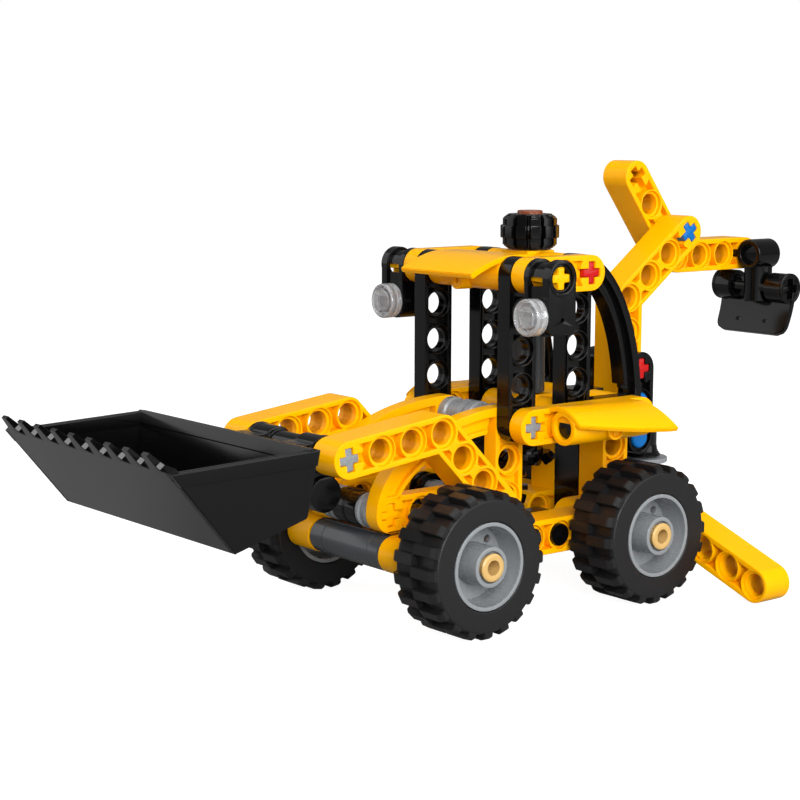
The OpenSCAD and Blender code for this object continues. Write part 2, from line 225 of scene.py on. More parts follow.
def sheet_mesh(rows, thick):
    """Panel from a grid of points, thickened on the side away from its normals."""
    bm = bmesh.new()
    grid = [[bm.verts.new(p) for p in row] for row in rows]
    for r in range(len(rows) - 1):
        for c in range(len(rows[0]) - 1):
            bm.faces.new((grid[r][c], grid[r][c + 1], grid[r + 1][c + 1], grid[r + 1][c]))
    bm.normal_update()
    top = {v: v.normal.copy() for v in bm.verts}
    faces = list(bm.faces)
    low = {v: bm.verts.new(v.co - n * thick) for v, n in top.items()}
    edges = [e for e in bm.edges if e.is_boundary]
    for f in faces:
        bm.faces.new([low[v] for v in reversed(f.verts)])
    for e in edges:
        loop = e.link_faces[0].loops
        a, b = next((l.vert, l.link_loop_next.vert) for l in loop if l.edge == e)
        bm.faces.new((b, a, low[a], low[b]))
    bmesh.ops.recalc_face_normals(bm, faces=bm.faces)
    sharp = [e for e in bm.edges if len(e.link_faces) == 2 and e.calc_face_angle(0) > 1.0]
    bmesh.ops.bevel(bm, geom=sharp, offset=0.18, segments=2, affect="EDGES", clamp_overlap=True)
    mesh = bpy.data.meshes.new("sheet")
    bm.to_mesh(mesh)
    bm.free()
    return mesh


def flatten(obj):
    """Weights the normals by face area, so flat faces shade flat and only the bevels bend."""
    even = obj.modifiers.new("even", "WEIGHTED_NORMAL")
    even.keep_sharp = True
    even.weight = 85
    old, name = obj.data, obj.data.name
    done = bpy.data.meshes.new_from_object(obj.evaluated_get(bpy.context.evaluated_depsgraph_get()))
    obj.modifiers.clear()
    obj.data = done
    bpy.data.meshes.remove(old)
    done.name = name


def build(name, body, material, parts, world=Matrix(), nodes=(), soft=34):
    """Joins the parts into one object in place of CAD nodes, riding on a body."""
    bm = bmesh.new()
    for mesh in parts:
        bm.from_mesh(mesh)
        bpy.data.meshes.remove(mesh)
    bm.transform(world @ SCALE)
    if (world.to_3x3()).determinant() < 0:
        bmesh.ops.reverse_faces(bm, faces=bm.faces)
    bmesh.ops.remove_doubles(bm, verts=bm.verts, dist=1e-7)
    loose = [f for f in bm.faces if f.calc_area() < 1e-13]
    bmesh.ops.delete(bm, geom=loose, context="FACES_ONLY")
    for f in bm.faces:
        f.smooth = True
    for e in bm.edges:
        if len(e.link_faces) == 2:
            e.smooth = e.calc_face_angle(0) < radians(soft)
    mesh = bpy.data.meshes.new(name)
    bm.to_mesh(mesh)
    bm.free()
    obj = bpy.data.objects.new(name, mesh)
    bpy.context.scene.collection.objects.link(obj)
    mesh.materials.append(material)
    flatten(obj)
    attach(obj, body)
    if nodes:
        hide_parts(*nodes)
    return obj


def plastic(name, color, rough=0.22, bump=0.004, tint=0.05, scatter=0.0,
            level=0.5):
    mat = bpy.data.materials.new(name)
    mat.use_nodes = True
    nodes, links = mat.node_tree.nodes, mat.node_tree.links
    shader = nodes["Principled BSDF"]
    coords = nodes.new("ShaderNodeTexCoord")
    # slow drift of colour through the moulding, and a fine ripple and specks on its skin
    drift = nodes.new("ShaderNodeTexNoise")
    drift.inputs["Scale"].default_value = 55
    drift.inputs["Detail"].default_value = 3
    mix = nodes.new("ShaderNodeMix")
    mix.data_type = "RGBA"
    mix.inputs["A"].default_value = (*[c * (1 - tint) for c in color], 1)
    mix.inputs["B"].default_value = (*[min(1, c * (1 + tint)) for c in color], 1)
    skin = nodes.new("ShaderNodeTexNoise")
    skin.inputs["Scale"].default_value = 900
    skin.inputs["Detail"].default_value = 4
    span = nodes.new("ShaderNodeMapRange")
    span.inputs["To Min"].default_value = rough * 0.82
    span.inputs["To Max"].default_value = rough * 1.25
    wave = nodes.new("ShaderNodeBump")
    wave.inputs["Strength"].default_value = bump * 8
    wave.inputs["Distance"].default_value = 0.00004
    for tex in (drift, skin):
        links.new(coords.outputs["Object"], tex.inputs["Vector"])
    links.new(drift.outputs["Fac"], mix.inputs["Factor"])
    links.new(mix.outputs["Result"], shader.inputs["Base Color"])
    links.new(skin.outputs["Fac"], span.inputs["Value"])
    links.new(span.outputs["Result"], shader.inputs["Roughness"])
    links.new(skin.outputs["Fac"], wave.inputs["Height"])
    links.new(wave.outputs["Normal"], shader.inputs["Normal"])
    shader.inputs["IOR"].default_value = 1.53
    shader.inputs["Specular IOR Level"].default_value = level
    if scatter:
        shader.inputs["Subsurface Weight"].default_value = scatter
        shader.inputs["Subsurface Radius"].default_value = (1.0, 0.6, 0.1)
        shader.inputs["Subsurface Scale"].default_value = 0.0008
    return mat


YELLOW = plastic("yellow_abs", (1.0, 0.44, 0.0005), 0.2, scatter=0.14, level=0.1)
BLACK = plastic("black_abs", (0.002, 0.002, 0.0022), 0.13, level=0.27)
DARK = plastic("dark_grey_abs", (0.05, 0.056, 0.061), 0.22, level=0.4)
GREY = plastic("light_grey_abs", (0.22, 0.235, 0.245), 0.26, bump=0.0012, level=0.4)
RED = plastic("red_abs", (0.46, 0.004, 0.004), 0.22, level=0.3)
BLUE = plastic("blue_abs", (0.0005, 0.13, 0.43), 0.22, level=0.3)
TAN = plastic("tan_abs", (0.58, 0.37, 0.13), 0.24, level=0.4)
BROWN = plastic("red_brown_abs", (0.2, 0.05, 0.018), 0.24, level=0.4)
RUBBER = plastic("tyre_rubber", (0.008, 0.008, 0.0087), 0.4, bump=0.04, tint=0.15, level=0.3)


def clear_plastic():
    mat = bpy.data.materials.new("clear_pc")
    mat.use_nodes = True
    nodes, links = mat.node_tree.nodes, mat.node_tree.links
    shader = nodes["Principled BSDF"]
    shader.inputs["Transmission Weight"].default_value = 0.77
    shader.inputs["IOR"].default_value = 1.58
    shader.inputs["Base Color"].default_value = (0.97, 0.98, 1.0, 1)
    coords = nodes.new("ShaderNodeTexCoord")
    haze = nodes.new("ShaderNodeTexNoise")
    haze.inputs["Scale"].default_value = 700
    span = nodes.new("ShaderNodeMapRange")
    span.inputs["To Min"].default_value = 0.01
    span.inputs["To Max"].default_value = 0.03
    links.new(coords.outputs["Object"], haze.inputs["Vector"])
    links.new(haze.outputs["Fac"], span.inputs["Value"])
    links.new(span.outputs["Result"], shader.inputs["Roughness"])
    return mat


CLEAR = clear_plastic()
CAD_LOOK = {"yellow": YELLOW, "black": BLACK, "dark_grey": DARK, "light_grey": GREY, "red": RED,
            "blue": BLUE, "tan": TAN, "brown": BROWN, "tyre": RUBBER, "clear": CLEAR}
for entry in frame["record"]["subparts"]:
    node_mesh = frame["nodes"][entry["node"]].data
    node_mesh.materials.clear()
    node_mesh.materials.append(CAD_LOOK[entry["material_slot"]])


# ---- beams ---------------------------------------------------------------
def legs(spec, thick, outline, windows=()):
    """Moulded beam. spec lists (leg angle, hole count, first hole, cross holes, split pockets)."""
    rounds, crosses, wells, slots = [], [], [], []
    for deg, count, first, cross, split in spec:
        for i in range(first, count):
            if i not in cross:
                rounds.append(polar(GRID * i, deg))
        for i in range(max(first - 1, 0), count - 1):
            if i in cross and i == 0:
                crosses.append(turn(CROSS, deg))
                slots.append(turn(cross_pocket(), deg))
            elif i + 1 in cross:
                end = polar(GRID * (i + 1), deg)
                crosses.append(turn(CROSS, deg + 180, *end))
                slots.append(turn(cross_pocket(), deg + 180, *end))
            else:
                at = polar(GRID * i, deg)
                wells += [turn(p, deg, *at) for p in pocket(split)]
    sunk = [ring(SINK_R, *p) for p in rounds]
    bores = [ring(HOLE_R, *p) for p in rounds]
    deep = 1.3 if thick < 5 else 2.3
    inner = 0.35
    parts = [plate([outline] + sunk + wells + slots + list(windows), thick)]
    parts += [plate([ring(SINK_R + 0.2, *p), ring(HOLE_R, *p)], thick - 2 * SINK_D,
                    bevel=0.1) for p in rounds]
    parts.append(plate([shrink(outline, inner)] + bores + crosses + [shrink(w, -inner) for w in windows],
                       thick - 2 * deep, bevel=0.05))
    return parts


def shrink(points, d):
    """Moves a loop inwards by d."""
    if area(points) < 0:
        points = points[::-1]
    out = []
    n = len(points)
    for i in range(n):
        a, p, b = Vector(points[i - 1]), Vector(points[i]), Vector(points[(i + 1) % n])
        if (p - a).length < 1e-6 or (b - p).length < 1e-6:
            continue
        u, v = (p - a).normalized(), (b - p).normalized()
        na, nb = Vector((-u.y, u.x)), Vector((-v.y, v.x))
        m = (na + nb) / max(0.3, 1 + na.dot(nb))
        out.append((p.x + m.x * d, p.y + m.y * d))
    return out


def straight(count, thick, cross=()):
    return legs([(0, count, 0, cross, False)], thick, capsule(count))


def bent(a, b, thick=WIDE):
    first, second = (a, b) if (b - a) % 360 < 180 else (b, a)
    second = first + (second - first) % 360
    return legs([(a, 4, 0, (3,), False), (b, 4, 1, (3,), True)], thick, elbow_outline(first, second))


def arc_beam():
    """Thin corner beam, five holes by three, closed by a quarter ellipse with an I section."""
    a, b = 4 * GRID + END_R, 2 * GRID + END_R

    def bow(inset, t0=0.0, t1=90.0, n=26):
        return [((a - inset) * cos(radians(t0 + (t1 - t0) * i / n)),
                 (b - inset) * sin(radians(t0 + (t1 - t0) * i / n))) for i in range(n + 1)]

    def window(inset):
        edge = END_R
        t0 = math.degrees(math.asin(edge / (b - inset)))
        t1 = math.degrees(math.acos(edge / (a - inset)))
        return [(edge, edge)] + bow(inset, t0, t1)
    outline = (arc(0, 0, END_R, 180, 270, 8) + arc(4 * GRID, 0, END_R, -90, 0, 8)[:-1] + bow(0)
               + arc(0, 2 * GRID, END_R, 90, 180, 8)[1:])
    parts = legs([(0, 5, 0, (4,), False), (90, 3, 1, (2,), False)], THIN, outline, [window(1.9)])
    inner_lip = bow(4.3, 11, 79)
    parts.append(plate([bow(1.0, 7, 83) + bow(5.0, 80, 10)], 1.4, bevel=0.1))
    parts.append(plate([inner_lip + bow(5.3, 78, 12)], THIN, bevel=0.15))
    return parts


def beam_pair(name, body, material, node, parts, place):
    """One beam on each side of the middle plane, as one piece per side."""
    for tag, s in (("left", 1), ("right", -1)):
        obj = build(f"{name}_{tag}", body, material, parts(), place(s))
        if isinstance(node, str):
            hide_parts(node)
        else:
            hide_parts(node[0] if s > 0 else node[1])


beam_pair("lower_beam", "chassis", YELLOW, ("lower_beam_left", "lower_beam_right"),
          lambda: straight(9, WIDE), lambda s: side(BEAM_X * s, NOSE_Y, ROW[0]))
beam_pair("front_pillar", "chassis", BLACK, "front_pillars",
          lambda: straight(5, THIN), lambda s: side(THIN_X * s, CAB_Y, ROW[3], 90))
beam_pair("waist_beam", "chassis", YELLOW, "waist_beams",
          lambda: straight(5, THIN, (0, 4)), lambda s: side(WAIST_X * s, CAB_Y, ROW[3]))
beam_pair("roof_beam", "chassis", YELLOW, "roof_beams",
          lambda: straight(3, THIN, (0, 2)), lambda s: side(WAIST_X * s, CAB_Y, ROW[7]))
beam_pair("upright", "mast", BLACK, "uprights",
          lambda: straight(3, THIN, (2,)), lambda s: side(6.05 * s, MAST_Y, ROW[2], 90))
SWAP = turned(((0, 1, 0), (1, 0, 0), (0, 0, 1)))
beam_pair("rear_pillar", "chassis", BLACK, "rear_pillars",
          arc_beam, lambda s: side(THIN_X * s, COLUMN_Y, ROW[3]) @ SWAP)
beam_pair("hood", "chassis", YELLOW, ("hood_left", "hood_right"),
          arc_beam, lambda s: side(HOOD_X * s, CAB_Y, ROW[1]) @ MIRROR)
ARM_A, BEND = -45.98, 126.87
LIFT = (16, ROW[1])
ELBOW = (LIFT[0] - 24 * cos(radians(ARM_A)), LIFT[1] - 24 * sin(radians(ARM_A)))
TIP_A = ARM_A + 360 - BEND
TIP = (ELBOW[0] + 24 * cos(radians(TIP_A)), ELBOW[1] + 24 * sin(radians(TIP_A)))
beam_pair("loader_arm", "loader", YELLOW, ("arm_left", "arm_right"),
          lambda: bent(TIP_A, ARM_A), lambda s: side(BEAM_X * s, *ELBOW))
BOOM_A = 36.87
build("boom_beam", "mast", YELLOW, bent(-90, BOOM_A), side(0, MAST_Y, ROW[6]), ["boom"])
build("stick_beam", "stick_arm", YELLOW, bent(0, BEND), side(-8, 92, ROW[7]), ["stick"])
beam_pair("inner_beam", "chassis", YELLOW, "inner_beams",
          lambda: legs([(90, 4, 0, (3,), False), (180, 2, 1, (), False)], WIDE,
                       arc(0, 24, END_R, 0, 180, 12) + [(-END_R, END_R)]
                       + arc(-8, 0, END_R, 90, 270, 12) + arc(0, 0, END_R, 270, 360, 6)),
          lambda s: side(8 * s, 56, ROW[0]))
LEG_SLOPE = 20
for tag, s in (("left", 1), ("right", -1)):
    flat = spot(BEAM_X * s, MAST_Y, AXLE_Z) @ turned(((s, 0, 0), (0, 0, 1), (0, -s, 0)))
    build(f"stabiliser_{tag}_leg", f"leg_{tag}", YELLOW, straight(5, WIDE), flat @ spin(-LEG_SLOPE),
          [f"stabiliser_{tag}"])

# ---- axles, pins and bushes ----------------------------------------------
AXLE_OUT = rounded([(2.4, -0.9), (2.4, 0.9), (0.9, 0.9), (0.9, 2.4), (-0.9, 2.4), (-0.9, 0.9),
                    (-2.4, 0.9), (-2.4, -0.9), (-0.9, -0.9), (-0.9, -2.4), (0.9, -2.4), (0.9, -0.9)], 0.35, 2)


def axle(length, z=0.0):
    return plate([AXLE_OUT], length, z, bevel=0.42)


def rod(r, z0, z1, bevel=0.3):
    return lathe([(0, z0), (r - bevel, z0), (r, z0 + bevel), (r, z1 - bevel), (r - bevel, z1), (0, z1)],
                 closed=False)


def at(mesh, matrix):
    mesh.transform(matrix)
    return mesh


def mm(matrix):
    """A placing matrix in millimetres, for parts joined before scaling."""
    m = matrix.copy()
    m.translation = m.translation / MM
    return m


def on_x(y, z, x=0.0):
    return mm(side(x, y, z))


build("yellow_cross_axles", "chassis", YELLOW,
      [at(axle(23.0), on_x(NOSE_Y, ROW[1])), at(axle(55.0), on_x(CAB_Y, ROW[7]))], nodes=["yellow_axles"])
build("grey_cross_axles", "chassis", GREY,
      [at(axle(38.8), on_x(CAB_Y, ROW[3])), at(axle(38.8), on_x(56, ROW[3]))], nodes=["grey_axles"])
build("loader_cross_axles", "loader", GREY,
      [at(axle(39.0), mm(side(0, *LIFT, ARM_A))), at(axle(39.0), mm(side(0, *TIP, TIP_A)))],
      nodes=["arm_axles"])
build("mast_cross_axle", "mast", RED, [at(axle(15.8), on_x(MAST_Y, ROW[4]))], nodes=["mast_axle"])
END = (MAST_Y + 24 * cos(radians(BOOM_A)), ROW[6] + 24 * sin(radians(BOOM_A)))
build("blue_axle_pins", "mast", BLUE,
      [at(axle(7.8), on_x(MAST_Y, ROW[3])), at(axle(7.8), mm(side(0, *END, BOOM_A))),
       at(rod(2.4, -11.8, -3.9), on_x(*END)), at(rod(2.4, 3.9, 7.9), on_x(MAST_Y, ROW[3])),
       at(rod(2.4, -7.9, -3.9), on_x(MAST_Y, ROW[3])), at(rod(2.4, -7.9, 7.9), on_x(MAST_Y, ROW[2]))],
      nodes=["blue_pins"])
red = []
for s in (1, -1):
    red += [at(axle(7.7), on_x(COLUMN_Y, ROW[7], 15.9 * s)),
            at(rod(2.4, 5 * s - 0.1 if s > 0 else -12.1, 12.1 if s > 0 else -4.9),
            on_x(COLUMN_Y, ROW[7]))]
build("roof_axle_pins", "chassis", RED, red, nodes=["roof_pins"])
BUSH = [(2.5, -1), (3.6, -1), (3.7, -0.85), (3.7, -0.5), (3.2, -0.4), (3.2, 0.4), (3.7, 0.5), (3.7, 0.85),
        (3.6, 1), (2.5, 1)]


def bush(half, x, y, z):
    """Bush with a flange at each end."""
    pts = [(r, t * half) for r, t in BUSH]
    return at(lathe(pts), on_x(y, z, x))


build("grey_bushes", "chassis", GREY,
      [bush(1.9, 6, NOSE_Y, ROW[1]), bush(1.95, -6, NOSE_Y, ROW[1]), bush(3.85, 4.1, CAB_Y, ROW[3]),
       bush(3.85, -4.1, CAB_Y, ROW[3])],
      nodes=["bushes"])


def connector(length, r=3.7):
    """Axle connector: round tube with a cross bore, a raised seam on two opposite sides and a raised band
    near each end.
    """
    h = length / 2
    body = plate([ring(r), rounded(CROSS, 0.25, 2)], length, bevel=0.35)
    seam = plate([[(-0.7, r - 0.3), (0.7, r - 0.3), (0.7, r + 0.12), (-0.7, r + 0.12)]], length - 3,
                 bevel=0.1)
    bands = [lathe([(r - 0.4, z - 0.35), (r + 0.1, z - 0.3), (r + 0.1, z + 0.3), (r - 0.4, z + 0.35)])
             for z in (-h + 4.0, h - 4.0)]
    return [body, seam, at(seam.copy(), spin(180))] + bands


def in_place(parts, matrix):
    return [at(p, matrix) for p in parts]


build("nose_connector", "chassis", DARK,
      in_place(connector(23.7), on_x(NOSE_Y, ROW[0])), nodes=["nose_connectors"])
build("nose_upper_connector", "chassis", BLACK, in_place(connector(7.8), on_x(NOSE_Y, ROW[1])),
      nodes=["nose_connectors"])
build("lift_axle_bushes", "loader", BLACK, [bush(1.8, x, *LIFT) for x in (6.1, -6.1)])
build("column_connector", "knob", DARK, in_place(connector(23.6), mm(spot(0, COLUMN_Y, ROW[5]))),
      nodes=["column"])
pins = []
for y in (0, REAR_AXLE_Y):
    for s in (1, -1):
        profile = rounded([(1.55, 12.3), (2.4, 12.3), (2.4, 33.4), (2.15, 33.5), (2.15, 33.9), (2.85, 34.0),
                           (2.9, 34.45),
                           (2.5, 34.7), (1.55, 34.7)], 0.12)
        facing = TO_LEFT if s > 0 else TO_LEFT @ Matrix.Rotation(math.pi, 4, "X")
        pins.append(at(lathe(profile), mm(spot(0, y, AXLE_Z)) @ facing))
build("wheel_hollow_pins", "chassis", TAN, pins, nodes=["wheel_pins"])


# ---- wheels --------------------------------------------------------------
TYRE_R, RIM_R, HALF_W = 15.2, 9.0, 6.5
BLOCKS = 20


def tread_block(bm, angle, z0, z1, outer_sign):
    """One tread block: a wedge on the carcass between z0 and z1."""
    r0, r1 = 13.2, TYRE_R
    rows = []
    for z, top in ((z0, r1), (z1 - 1.1 * outer_sign, r1), (z1, r1 - 0.75)):
        rows.append((z, top))
    verts = []
    for z, top in rows:
        wide, slim = radians(5.1), radians(4.25)
        for r, w in ((r0, -wide), (top, -slim), (top, slim), (r0, wide)):
            verts.append(bm.verts.new((r * cos(angle + w), r * sin(angle + w), z)))
    for k in range(2):
        a, b = verts[4 * k:4 * k + 4], verts[4 * k + 4:4 * k + 8]
        for i in range(3):
            bm.faces.new((a[i], a[i + 1], b[i + 1], b[i]))
    bm.faces.new(verts[0:4])
    bm.faces.new(verts[8:12][::-1])


def tyre():
    carcass = lathe(rounded([(RIM_R - 0.3, -5.85), (RIM_R + 0.1, -5.9), (RIM_R + 0.15, -HALF_W),
                             (13.5, -HALF_W), (13.9, -5.6),
                             (13.7, 0), (13.9, 5.6), (13.5, HALF_W), (RIM_R + 0.15, HALF_W),
                             (RIM_R + 0.1, 5.9),
                             (RIM_R - 0.3, 5.85)], 0.3), n=96)
    bm = bmesh.new()
    for k in range(BLOCKS):
        a = 2 * math.pi * k / BLOCKS
        tread_block(bm, a, -0.25, HALF_W - 0.1, 1)
        tread_block(bm, a + math.pi / BLOCKS, 0.25, -HALF_W + 0.1, -1)
    bmesh.ops.recalc_face_normals(bm, faces=bm.faces)
    sharp = [e for e in bm.edges if len(e.link_faces) == 2 and e.calc_face_angle(0) > 0.5]
    bmesh.ops.bevel(bm, geom=sharp, offset=0.14, segments=2, affect="EDGES")
    blocks = bpy.data.meshes.new("blocks")
    bm.to_mesh(blocks)
    bm.free()
    return [carcass, blocks]


def rim():
    """Dished rim, open outwards, with a raised hub and four small holes in its web."""
    barrel = lathe(rounded([(RIM_R - 0.45, -5.9), (RIM_R, -6.0), (RIM_R, -6.4), (8.1, -6.4), (7.8, -1.4),
                            (7.5, -0.8), (7.5, 0.2),
                            (7.7, 1.2), (8.15, 5.3), (8.2, 6.5), (RIM_R, 6.5), (RIM_R + 0.02, 6.0),
                            (RIM_R - 0.45, 5.9)], 0.14), n=96)
    hub = lathe(rounded([(HOLE_R, -6.5), (4.1, -6.5), (4.3, -0.4), (4.3, 0.4), (4.15, 7.0), (3.3, 7.05),
                         (3.15, 6.2), (HOLE_R, 6.1)],
                        0.14), n=64)
    holes = [ring(0.85, *polar(5.95, 45 + 90 * k), n=20) for k in range(4)]
    web = plate([ring(7.75, n=64)] + [ring(4.0, n=48)] + holes, 1.5, z=0.0, bevel=0.1)
    return [barrel, hub, web]


for key, y, s in (("fl", 0, 1), ("fr", 0, -1), ("rl", REAR_AXLE_Y, 1), ("rr", REAR_AXLE_Y, -1)):
    where = spot(WHEEL_X * s, y, AXLE_Z) @ TO_LEFT
    if s < 0:
        where = where @ Matrix.Rotation(math.pi, 4, "X")
    build(f"tyre_{key}_tread", f"wheel_{key}", RUBBER, tyre(), where, [f"tyre_{key}"])
    build(f"rim_{key}_dish", f"wheel_{key}", GREY, rim(), where, [f"rim_{key}"])

# ---- knob and light brackets ---------------------------------------------
TEETH = 12


def tooth_ring(root, top, half_low, half_top, count=TEETH):
    pts = []
    for k in range(count):
        a = 360 * k / count
        pts += [polar(root, a - half_low), polar(top, a - half_top), polar(top, a + half_top),
                polar(root, a + half_low)]
    return pts


bore_loop = rounded(CROSS, 0.25, 2)
KNOB_Z = 79.2
knob = []
# stepped-in tooth ends
for i, (r, half) in enumerate(((6.05, 2.95), (5.75, 3.3), (5.35, 3.6), (4.95, 3.85))):
    knob.append(plate([rounded(tooth_ring(4.5, r, 14, 11.4 - 0.9 * i), 0.25, 2), bore_loop], 2 * half,
                      bevel=0.12))
knob.append(plate([rounded(tooth_ring(4.9, 6.55, 13.5, 10.4), 0.25, 2), bore_loop], 2.8, bevel=0.15))
knob.append(plate([ring(4.7), ring(3.1)], 7.75, bevel=0.25))
build("roof_knob_gear", "knob", BLACK, knob, spot(0, COLUMN_Y, KNOB_Z), ["knob_gear"])
build("knob_stop_axle", "knob", BROWN, [axle(23.6, -7.9), rod(2.8, 3.3, 4.6, 0.18)],
      spot(0, COLUMN_Y, KNOB_Z), ["knob_axle"])


def bracket():
    """Two ringed ears joined by a slotted tube round the roof axle, over a square foot for the lens."""
    parts = []
    for x0, x1 in ((20.2, 21.5), (25.9, 27.85)):
        mid, thick = (x0 + x1) / 2, x1 - x0
        where = on_x(CAB_Y, ROW[7], mid)
        loops = [arc(0, 0, END_R, 0, 180, 16) + [(-END_R, -8), (END_R, -8)], ring(2.95)]
        # the outer ear runs down to the foot and has a small hole low on its side
        if x1 > 25:
            low = arc(-END_R + 1.4, -10.2, 1.4, 180, 270, 5) + arc(END_R - 1.4, -10.2, 1.4, 270, 360, 5)
            loops = [arc(0, 0, END_R, 0, 180, 16) + low, ring(2.95), ring(0.45, 0.1, -8.6, 20)]
        parts.append(at(plate(loops, thick), where))
        parts.append(at(plate([ring(3.1), ring(2.5)], thick - 0.9, bevel=0.1), where))
        parts.append(at(plate([ring(END_R), ring(3.0)], thick + 0.3, bevel=0.14), where))
    hood = arc(0, 0, 3.15, 176, -40, 26) + arc(0, 0, 2.5, -40, 176, 26)
    parts.append(at(plate([hood], 4.8, bevel=0.1), on_x(CAB_Y, ROW[7], 23.7)))
    parts.append(at(plate([[(-3.3, -8), (-3.3, -1.7), (3.0, -1.7), (3.0, -8)]], 4.8, bevel=0.2),
                    on_x(CAB_Y, ROW[7], 23.7)))
    foot = [(-3.8, -1.5)] + arc(-1.6, END_R - 2.2, 2.2, 180, 90, 8) + [(2.9, END_R), (2.9, -1.5)]
    body = mm(spot(24, 24, ROW[6])) @ TO_REAR
    parts.append(at(plate([foot, ring(2.5)], 7.7, bevel=0.2), body))
    parts.append(at(rod(2.6, 0, 3.6), body))
    return parts


def lens():
    """Clear round plate: a raised rim and a flush stud in front, ring grooves behind."""
    z = [v - 24 for v in (17.2, 18.3, 20.15, 19.2, 22.6)]
    front, groove, back, well, stem = z
    profile = rounded([(0, front + 0.12), (2.25, front + 0.05), (2.45, groove), (3.05, groove),
                       (3.3, front), (3.7, front),
                       (3.88, front + 0.3), (3.88, back), (3.2, back), (3.0, well), (2.5, well),
                       (2.35, stem), (0, stem)],
                      0.12, closed=False)
    return [at(lathe(profile, n=64, closed=False), mm(spot(24, 24, ROW[6])) @ TO_REAR)]


for tag, m in (("left", Matrix()), ("right", MIRROR)):
    build(f"light_bracket_{tag}", f"light_{tag}", BLACK, bracket(), m, [f"bracket_{tag}"])
    build(f"light_lens_{tag}", f"light_{tag}", CLEAR, lens(), m, [f"lamp_{tag}"])

# ---- roof, visor and fenders ---------------------------------------------
def cross_block(z):
    """Cross member: a square boss with a vertical hole between two round tubes."""
    hub = plate([rounded([(-4, -4), (4, -4), (4, 4), (-4, 4)], 0.5), ring(HOLE_R)], 7.9, bevel=0.2)
    ends = [at(lathe(rounded([(HOLE_R, 3.0), (END_R - 0.1, 3.0), (END_R - 0.1, 11.8), (SINK_R, 11.8),
                              (SINK_R, 11.0), (HOLE_R, 11.0)], 0.12)),
               TO_LEFT @ Matrix.Rotation(a, 4, "X")) for a in (0, math.pi)]
    return in_place([hub] + ends, mm(spot(0, COLUMN_Y, z)))


build("roof_cross_block", "chassis", YELLOW, cross_block(ROW[7]), nodes=["roof_cross"])
build("waist_cross_block", "chassis", YELLOW, cross_block(ROW[3]), nodes=["waist_cross"])


def sweep(t, drop):
    """Profile of a fairing panel from its crown (t = 0) to its lip (t = 1): out, up."""
    out = -5.0 + 16.1 * t
    up = 3.95 if t < 0.28 else 3.95 - drop * ((t - 0.28) / 0.72) ** 1.75
    return out, up


def fairing(length, drop=4.6, tip=0.0):
    """Panel over a tube that runs along local Y; the lip is along local +X, drawn in towards the -Y end by
    tip.
    """
    rows = []
    for i in range(15):
        t = i / 14
        out, up = sweep(t, drop)
        y0, y1 = -length / 2, length / 2
        row = []
        for k in range(13):
            u = k / 12
            pull = tip * t * (1 - u) ** 1.5
            row.append((out - pull, y0 + (y1 - y0) * u, up + pull * 0.32))
        rows.append(row)
    panel = sheet_mesh([list(reversed(r)) for r in rows], 1.15)
    barrel = at(lathe(rounded([(HOLE_R, -11.8), (END_R - 0.15, -11.8), (END_R - 0.15, 11.8),
                               (HOLE_R, 11.8)], 0.25)), TO_REAR)
    rib = at(plate([[(-2.6, 1), (2.6, 1), (2.6, 3.5), (-2.6, 3.5)]], 22), TO_REAR @ spin(180))
    return [panel, barrel, rib]


visor_turn = turned(((0, -1, 0), (1, 0, 0), (0, 0, 1)))
boss = at(lathe(rounded([(0.55, 1.0), (1.9, 1.0), (1.9, 5.2), (0.55, 5.2)], 0.2)),
          mm(spot(0, 24, ROW[7] - 1.9)) @ TO_FRONT)
build("visor_panel", "chassis", YELLOW,
      in_place(fairing(23.7, drop=3.6), mm(spot(0, 24, ROW[7]) @ visor_turn)) + [boss], nodes=["visor"])
for tag, m in (("left", Matrix()), ("right", MIRROR)):
    parts = in_place(fairing(23.7, tip=6.0), mm(spot(24, 40, ROW[3])))
    pin = mm(side(27.2, 40, ROW[3] - 0.6))
    parts += [at(lathe(rounded([(0, -3), (2.5, -3), (2.5, 0.9), (1.9, 1.0), (1.8, 0.4), (0, 0.4)], 0.1,
                               closed=False), closed=False), pin),
              at(plate([[(x * 0.62, y * 0.62) for x, y in CROSS]], 1.6, bevel=0.1), pin)]
    build(f"fender_panel_{tag}", "chassis", YELLOW, parts, m, [f"fender_{tag}"])

build("fender_tube_pins", "chassis", BLACK,
      [at(rod(2.35, -10.9, 10.9), mm(spot(24 * s, 40, ROW[3])) @ TO_REAR) for s in (1, -1)])

# ---- loader bucket -------------------------------------------------------
BUCKET_W = 31.3
LIP, FLOOR_F, FLOOR_B, BACK = (-72.5, 41.7), (-59.0, 25.5), (-42.9, 30.1), (-40.2, 42.8)
SKIN = 1.6


def wall(p, q, extra=0.0, thick=SKIN, width=2 * BUCKET_W - 0.3, inset=0.0):
    """Flat wall of the bucket between two points of its side profile."""
    dy, dz = q[0] - p[0], q[1] - p[1]
    length = math.hypot(dy, dz)
    ux, uz = dy / length, dz / length
    n = (-uz, ux)
    frame_m = Matrix(((1, 0, 0, 0), (0, ux, n[0], p[0]), (0, uz, n[1], p[1]), (0, 0, 0, 1)))
    shape = [(-width / 2, -extra), (width / 2, -extra), (width / 2, length + extra),
             (-width / 2, length + extra)]
    return at(plate([rounded(shape, 0.3)], thick, thick / 2 + inset, bevel=0.3), frame_m)


def on_plane(p, q):
    dy, dz = q[0] - p[0], q[1] - p[1]
    length = math.hypot(dy, dz)
    return Matrix(((1, 0, 0, 0), (0, dy / length, -dz / length, p[0]), (0, dz / length, dy / length, p[1]),
                   (0, 0, 0, 1)))


